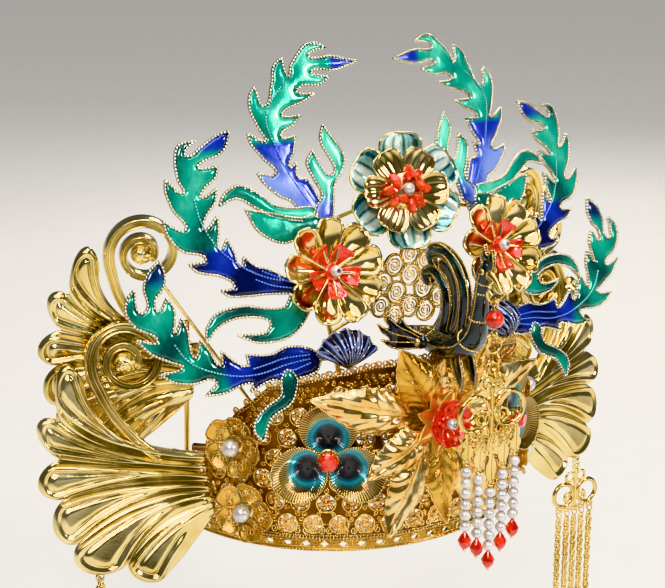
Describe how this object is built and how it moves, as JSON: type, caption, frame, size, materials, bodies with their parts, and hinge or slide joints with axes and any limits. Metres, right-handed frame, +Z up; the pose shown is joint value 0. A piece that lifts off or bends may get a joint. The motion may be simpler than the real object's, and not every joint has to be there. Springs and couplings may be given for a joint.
{
  "type": "phoenix crown",
  "caption": "Open-backed ceremonial head crown with fan wings, enamel tail feathers, flowers, a phoenix and hanging pearl and chain drops.",
  "frame": {"origin": "centre of the head band's lower edge, where the crown sits round the wearer's head", "axes": "-Y is the crown's front, +X the wearer's left, +Z up"},
  "size_m": [0.3032, 0.1415, 0.3571],
  "materials": {
    "polished_gold": "polished",
    "pale_gold": "polished",
    "feather_enamel": "gloss enamel",
    "bud_enamel": "gloss enamel",
    "silver_teal_enamel": "gloss enamel",
    "deep_blue_enamel": "gloss enamel",
    "dark_enamel": "gloss enamel",
    "pearl": "pearl lustre",
    "red_crystal": "cut and polished",
    "thread": "plain"
  },
  "bodies": {
    "crown": {"base_band": "polished_gold", "pierced_panel": "polished_gold", "crown_frame": "polished_gold", "lower_wing_left": "polished_gold", "lower_wing_right": "polished_gold", "upper_wing_left": "polished_gold", "upper_wing_right": "polished_gold", "upper_feather_left": "feather_enamel", "upper_feather_right": "feather_enamel", "middle_feather_left": "feather_enamel", "middle_feather_right": "feather_enamel", "lower_feather_left": "feather_enamel", "lower_feather_right": "feather_enamel", "shell_bud_left": "bud_enamel", "shell_bud_right": "bud_enamel", "side_flower_left": "polished_gold", "side_flower_right": "polished_gold", "side_heart_left": "red_crystal", "side_heart_right": "red_crystal", "side_bead_left": "pearl", "side_bead_right": "pearl", "top_flower_enamel": "silver_teal_enamel", "top_flower_gold": "polished_gold", "top_flower_stones": "red_crystal", "top_flower_bead": "pearl", "leaf_spray": "polished_gold", "star_calyx": "pale_gold", "front_heart": "red_crystal", "front_bead": "pearl", "enamel_flower_left": "deep_blue_enamel", "enamel_flower_right": "deep_blue_enamel", "setting_stone_left": "red_crystal", "setting_stone_right": "red_crystal", "pearl_flower_upper_left": "polished_gold", "pearl_flower_upper_right": "polished_gold", "pearl_flower_lower_left": "polished_gold", "pearl_flower_lower_right": "polished_gold", "large_pearl_upper_left": "pearl", "large_pearl_upper_right": "pearl", "large_pearl_lower_left": "pearl", "large_pearl_lower_right": "pearl", "phoenix_body": "dark_enamel", "phoenix_wing_left": "dark_enamel", "phoenix_wing_right": "dark_enamel", "beak_loop": "polished_gold"},
    "front_pendant": {"pendant_bead": "red_crystal", "pendant_links": "polished_gold", "pendant_cloud": "polished_gold", "pearl_string_1": "pearl", "pearl_string_2": "pearl", "pearl_string_3": "pearl", "pearl_string_4": "pearl", "pearl_string_5": "pearl", "string_threads": "thread", "string_stones": "red_crystal"},
    "tassel_left": {"tassel_cloud_left": "polished_gold", "tassel_chains_left": "polished_gold"},
    "tassel_right": {"tassel_cloud_right": "polished_gold", "tassel_chains_right": "polished_gold"}
  },
  "joints": [
    {"name": "pendant_swing", "type": "hinge", "parent": "crown", "child": "front_pendant", "pos_m": [0, -0.1224, 0.117], "axis": [1, 0, 0], "range_deg": [-55, 6]},
    {"name": "tassel_left_swing", "type": "hinge", "parent": "crown", "child": "tassel_left", "pos_m": [0.13067, -0.02383, -0.01084], "axis": [1, 0, 0], "range_deg": [-30, 30]},
    {"name": "tassel_right_swing", "type": "hinge", "parent": "crown", "child": "tassel_right", "pos_m": [-0.13067, -0.02383, -0.01084], "axis": [1, 0, 0], "range_deg": [-30, 30]}
  ]
}
